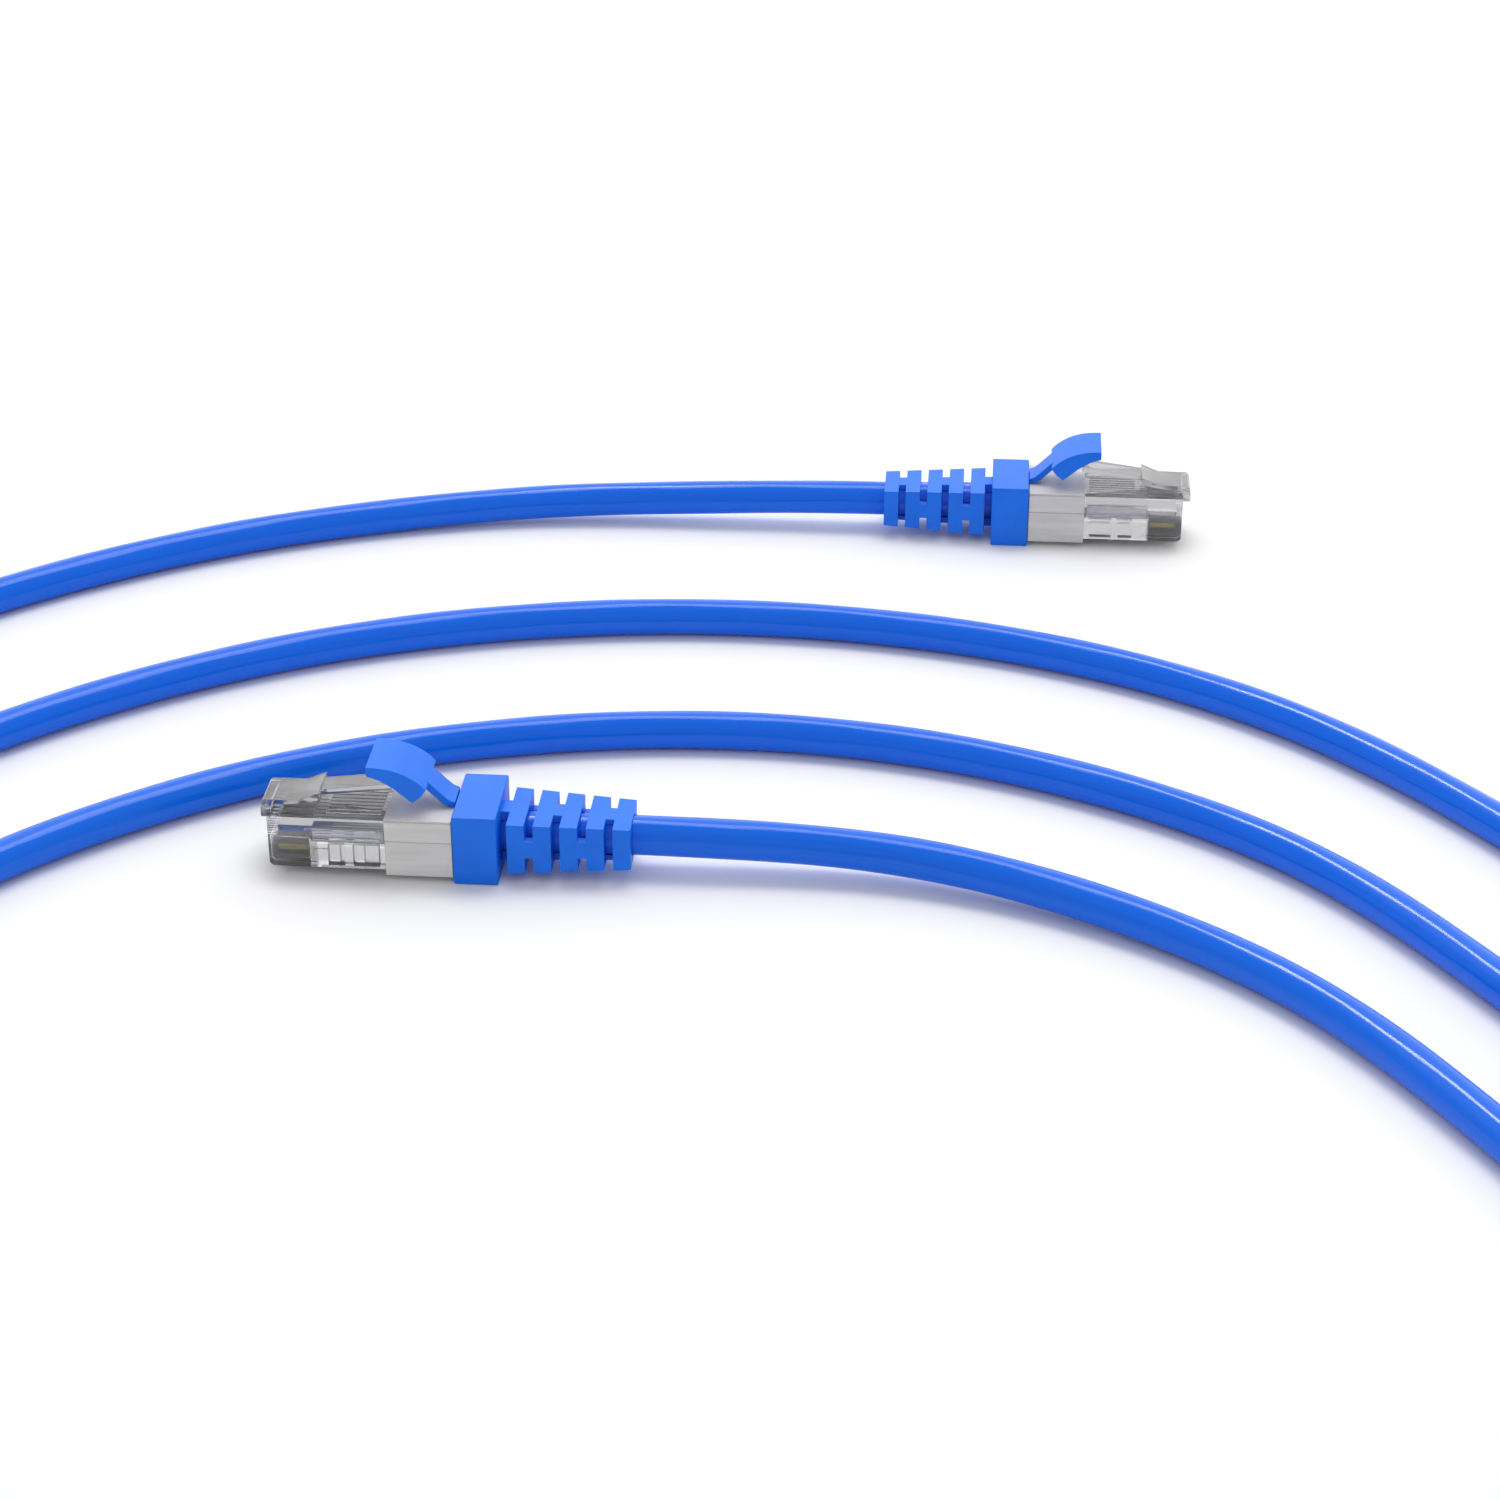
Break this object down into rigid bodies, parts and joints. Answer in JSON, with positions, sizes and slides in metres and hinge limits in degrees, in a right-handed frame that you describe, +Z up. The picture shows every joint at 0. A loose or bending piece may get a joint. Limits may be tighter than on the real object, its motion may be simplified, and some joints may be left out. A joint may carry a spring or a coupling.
{
  "type": "ethernet patch cable",
  "caption": "Blue round ethernet patch cable laid in loose turns, with a clear 8P8C plug, ribbed boot and latch guard on each end.",
  "frame": {"origin": "on the surface that the cable lies on, midway between the two plugs", "axes": "+Z up, through the plugs' latches; +X from plug B's side to plug A's, 4.5 degrees from the way plug A points; +Y from the near turns of the cable towards plug A"},
  "size_m": [0.3172, 0.3066, 0.0173],
  "materials": {
    "blue_pvc": "satin flexible PVC",
    "clear": "clear moulded polycarbonate",
    "frosted": "frosted, translucent",
    "guide": "clear to milky",
    "gold": "gold plated",
    "wire_white_orange": "wire insulation",
    "wire_orange": "wire insulation",
    "wire_white_green": "wire insulation",
    "wire_blue": "wire insulation",
    "wire_white_blue": "wire insulation",
    "wire_green": "wire insulation",
    "wire_white_brown": "wire insulation",
    "wire_brown": "wire insulation"
  },
  "bodies": {
    "cable": {"cable_jacket": "blue_pvc", "boot_a": "blue_pvc", "inner_mould_a": "frosted", "plug_housing_a": "clear", "wire_guide_a": "guide", "contact_a1": "gold", "wire_a1_white_orange": "wire_white_orange", "contact_a2": "gold", "wire_a2_orange": "wire_orange", "contact_a3": "gold", "wire_a3_white_green": "wire_white_green", "contact_a4": "gold", "wire_a4_blue": "wire_blue", "contact_a5": "gold", "wire_a5_white_blue": "wire_white_blue", "contact_a6": "gold", "wire_a6_green": "wire_green", "contact_a7": "gold", "wire_a7_white_brown": "wire_white_brown", "contact_a8": "gold", "wire_a8_brown": "wire_brown", "boot_b": "blue_pvc", "inner_mould_b": "frosted", "plug_housing_b": "clear", "wire_guide_b": "guide", "contact_b1": "gold", "wire_b1_white_orange": "wire_white_orange", "contact_b2": "gold", "wire_b2_orange": "wire_orange", "contact_b3": "gold", "wire_b3_white_green": "wire_white_green", "contact_b4": "gold", "wire_b4_blue": "wire_blue", "contact_b5": "gold", "wire_b5_white_blue": "wire_white_blue", "contact_b6": "gold", "wire_b6_green": "wire_green", "contact_b7": "gold", "wire_b7_white_brown": "wire_white_brown", "contact_b8": "gold", "wire_b8_brown": "wire_brown"},
    "guard_a": {"latch_guard_a": "blue_pvc"},
    "latch_a": {"latch_a": "clear"},
    "guard_b": {"latch_guard_b": "blue_pvc"},
    "latch_b": {"latch_b": "clear"}
  },
  "joints": [
    {"name": "guard_a_press", "type": "hinge", "parent": "cable", "child": "guard_a", "pos_m": [0.04555, 0.05861, 0.0105], "axis": [0.0785, 0.9969, 0], "range_deg": [0, 12], "stiffness_Nm_per_rad": 0.04},
    {"name": "latch_a_press", "type": "hinge", "parent": "cable", "child": "latch_a", "pos_m": [0.07297, 0.05646, 0.0096], "axis": [0.0785, 0.9969, 0], "range_deg": [-6, 0], "stiffness_Nm_per_rad": 0.04},
    {"name": "guard_b_press", "type": "hinge", "parent": "cable", "child": "guard_b", "pos_m": [-0.04555, -0.05861, 0.0105], "axis": [-0.0785, -0.9969, 0], "range_deg": [0, 12], "stiffness_Nm_per_rad": 0.04},
    {"name": "latch_b_press", "type": "hinge", "parent": "cable", "child": "latch_b", "pos_m": [-0.07297, -0.05646, 0.0096], "axis": [-0.0785, -0.9969, 0], "range_deg": [-6, 0], "stiffness_Nm_per_rad": 0.04}
  ],
  "couplings": [
    {"joint": "latch_a_press", "follows": "guard_a_press", "ratio": -0.5},
    {"joint": "latch_b_press", "follows": "guard_b_press", "ratio": -0.5}
  ]
}
